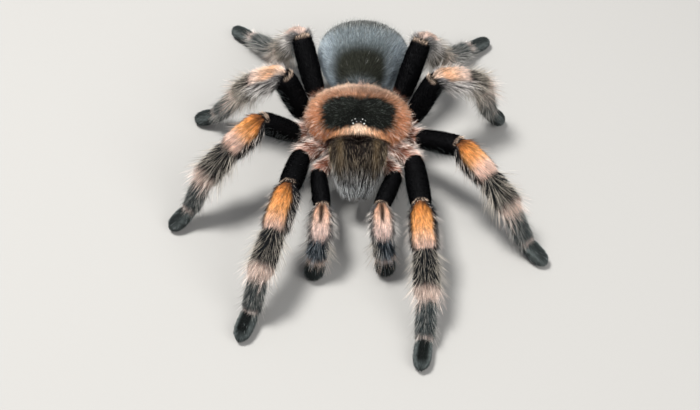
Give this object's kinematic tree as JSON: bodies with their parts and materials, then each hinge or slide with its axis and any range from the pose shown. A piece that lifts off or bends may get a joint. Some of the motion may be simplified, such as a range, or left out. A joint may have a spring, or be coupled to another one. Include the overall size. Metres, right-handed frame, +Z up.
{
  "type": "tarantula",
  "caption": "Life-size still model of a red-kneed tarantula standing with its front legs reached forward.",
  "frame": {"origin": "middle of the model's footprint, on the floor that its feet stand on", "axes": "+Z up, the spider faces -Y, its left side is +X"},
  "size_m": [0.0824, 0.0996, 0.0242],
  "materials": {
    "carapace_velour": "short velvety rust-brown hair",
    "eye_glass": "glossy, wet-looking",
    "black_velvet": "dense matt black hair",
    "flame_coat": "short orange hair, pale at the far end",
    "grey_coat": "long grey hair over black",
    "slate_coat": "dense blue-grey hair",
    "brown_coat": "brown and olive hair",
    "joint_skin": "bare pinkish skin with cream hair",
    "fang_horn": "polished black horn"
  },
  "bodies": {
    "root": {"carapace": "carapace_velour", "eye_mound": "eye_glass", "sternum": "black_velvet", "abdomen": "slate_coat", "chelicera_left": "brown_coat", "chelicera_right": "brown_coat", "fang_left": "fang_horn", "fang_right": "fang_horn", "spinneret_left": "slate_coat", "spinneret_right": "slate_coat", "palp_left_hip": "joint_skin", "palp_left_femur": "black_velvet", "palp_left_patella": "flame_coat", "palp_left_tibia": "grey_coat", "palp_left_foot": "slate_coat", "palp_right_hip": "joint_skin", "palp_right_femur": "black_velvet", "palp_right_patella": "flame_coat", "palp_right_tibia": "grey_coat", "palp_right_foot": "slate_coat", "leg1_left_hip": "joint_skin", "leg1_left_femur": "black_velvet", "leg1_left_patella": "flame_coat", "leg1_left_tibia": "grey_coat", "leg1_left_foot": "slate_coat", "leg1_right_hip": "joint_skin", "leg1_right_femur": "black_velvet", "leg1_right_patella": "flame_coat", "leg1_right_tibia": "grey_coat", "leg1_right_foot": "slate_coat", "leg2_left_hip": "joint_skin", "leg2_left_femur": "black_velvet", "leg2_left_patella": "flame_coat", "leg2_left_tibia": "grey_coat", "leg2_left_foot": "slate_coat", "leg2_right_hip": "joint_skin", "leg2_right_femur": "black_velvet", "leg2_right_patella": "flame_coat", "leg2_right_tibia": "grey_coat", "leg2_right_foot": "slate_coat", "leg3_left_hip": "joint_skin", "leg3_left_femur": "black_velvet", "leg3_left_patella": "flame_coat", "leg3_left_tibia": "grey_coat", "leg3_left_foot": "slate_coat", "leg3_right_hip": "joint_skin", "leg3_right_femur": "black_velvet", "leg3_right_patella": "flame_coat", "leg3_right_tibia": "grey_coat", "leg3_right_foot": "slate_coat", "leg4_left_hip": "joint_skin", "leg4_left_femur": "black_velvet", "leg4_left_patella": "flame_coat", "leg4_left_tibia": "grey_coat", "leg4_left_foot": "slate_coat", "leg4_right_hip": "joint_skin", "leg4_right_femur": "black_velvet", "leg4_right_patella": "flame_coat", "leg4_right_tibia": "grey_coat", "leg4_right_foot": "slate_coat"}
  },
  "joints": []
}
